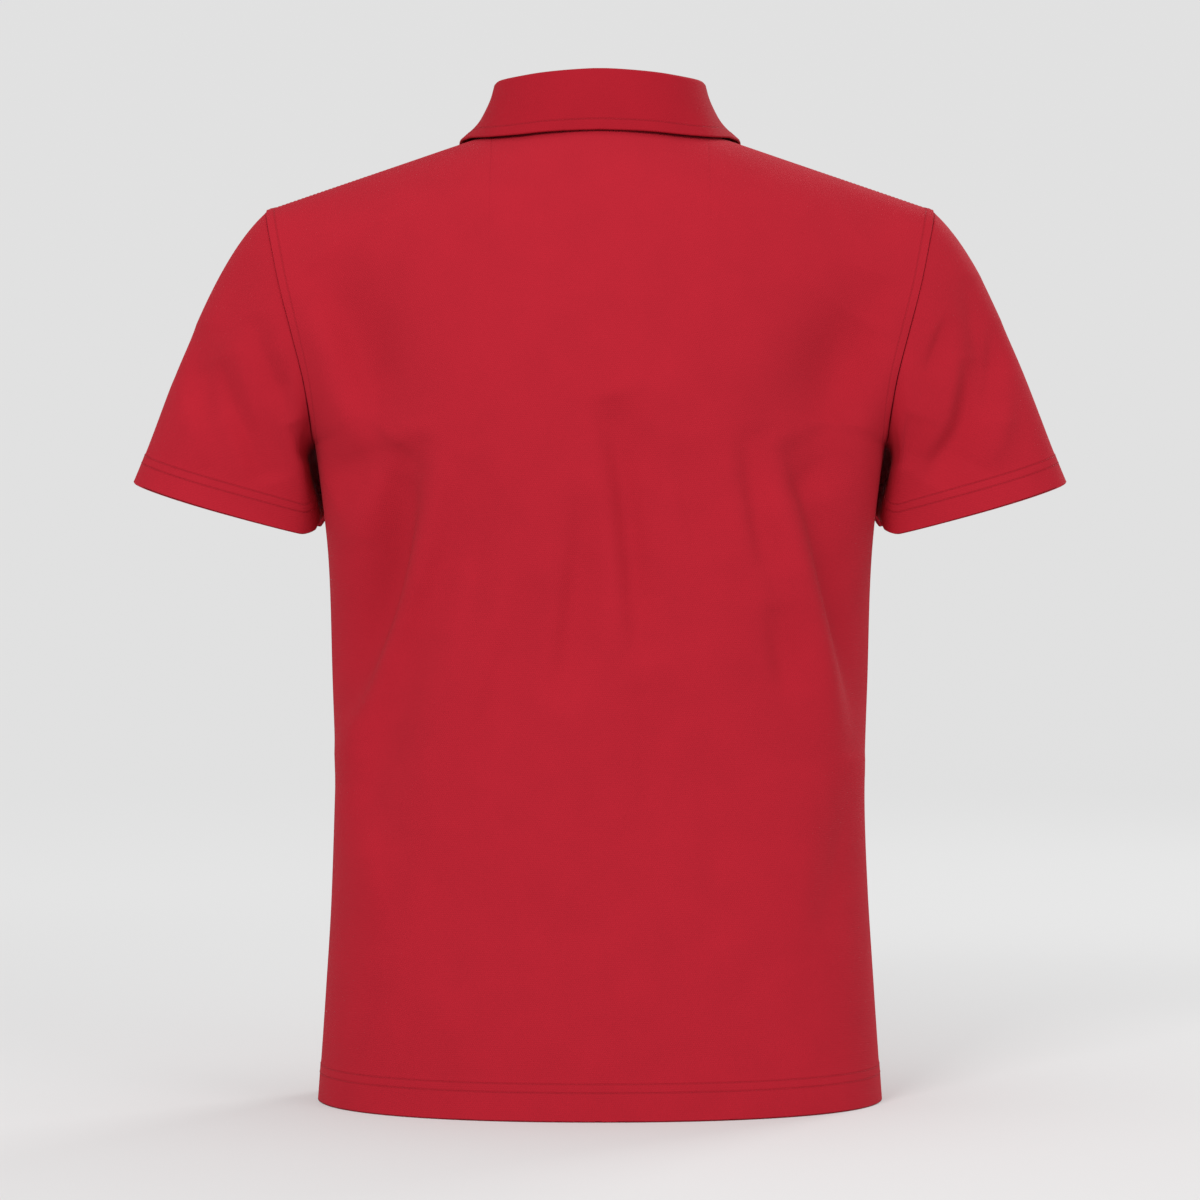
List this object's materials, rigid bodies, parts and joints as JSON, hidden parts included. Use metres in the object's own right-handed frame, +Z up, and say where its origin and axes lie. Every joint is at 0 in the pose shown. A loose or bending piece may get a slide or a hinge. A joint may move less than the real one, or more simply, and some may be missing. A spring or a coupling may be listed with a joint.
{
  "type": "short-sleeved polo shirt",
  "caption": "Plain red short-sleeved polo shirt, filled out as worn with nobody in it: turned-down collar, buttoned half placket, set-in sleeves and a straight hem.",
  "frame": {"origin": "midway between the two neck points, on the shoulder line, where the wearer's shoulders hold the shirt up", "axes": "+Z up, -Y the way the shirt faces, +X to the wearer's left; the hem is 0.693 m below the origin"},
  "size_m": [0.6766, 0.255, 0.7328],
  "materials": {
    "knit": "matt red cotton pique knit",
    "button": "red resin button with a soft shine"
  },
  "bodies": {
    "root": {"back": "knit", "front": "knit", "sleeve_left": "knit", "sleeve_right": "knit", "collar_stand": "knit", "collar_leaf": "knit", "placket_upper": "knit", "placket_under": "knit", "button_1": "button", "button_2": "button", "button_3": "button"}
  },
  "joints": []
}
